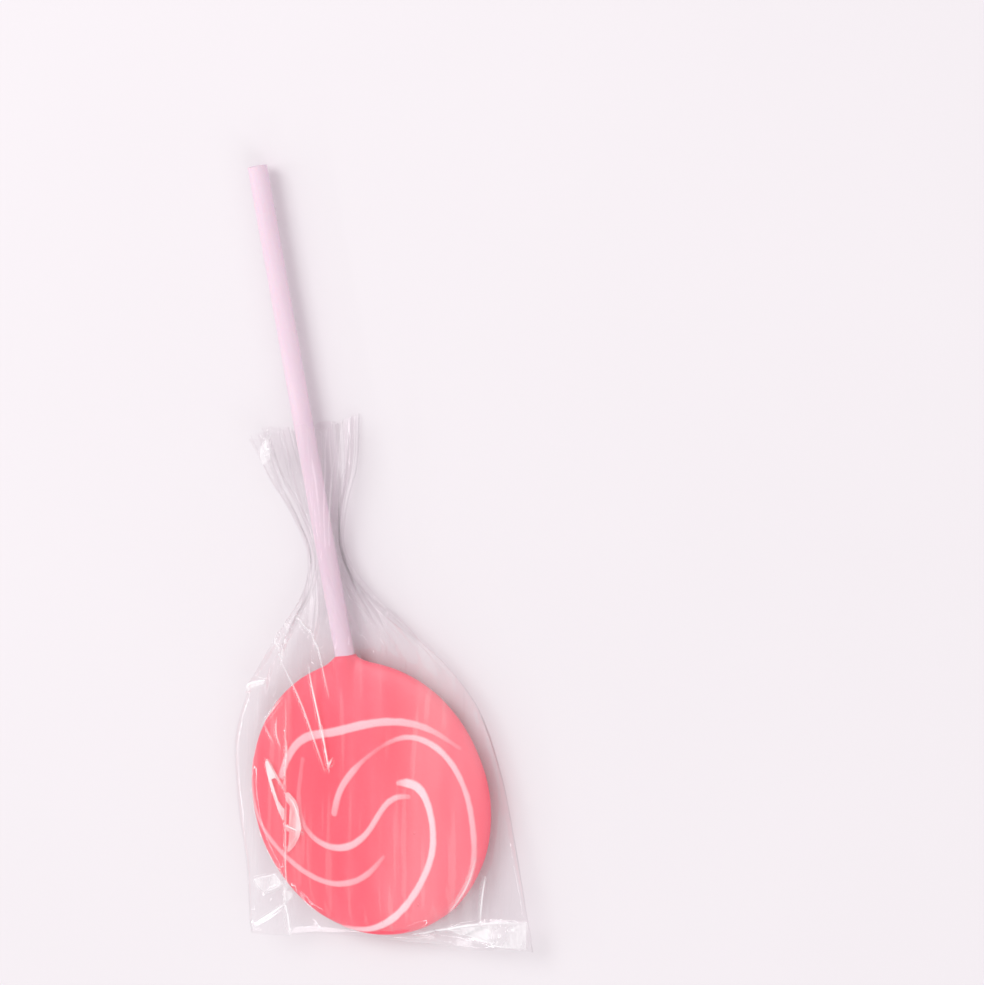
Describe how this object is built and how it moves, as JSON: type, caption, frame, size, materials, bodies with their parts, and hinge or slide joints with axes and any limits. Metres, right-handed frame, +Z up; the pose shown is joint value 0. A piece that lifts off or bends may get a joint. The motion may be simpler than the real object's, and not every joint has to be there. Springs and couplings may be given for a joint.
{
  "type": "swirl lollipop",
  "caption": "Round pressed swirl lollipop on a straight white stick, in a clear film bag gathered round the stick, lying with its face up.",
  "frame": {"origin": "on the surface the part lies on, under the middle of the candy disc", "axes": "+Y along the stick, away from the disc; +Z up, out of the shown face of the disc; +X to the right as seen from above with the stick pointing up"},
  "size_m": [0.0592, 0.1474, 0.0088],
  "materials": {
    "candy": "glossy coral pink boiled sugar with pale pink swirl stripes",
    "stick": "smooth white rolled paper with a soft gloss",
    "film": "clear crinkled wrapping film with sharp highlights"
  },
  "bodies": {
    "root": {"candy": "candy", "stick": "stick", "film": "film"}
  },
  "joints": []
}
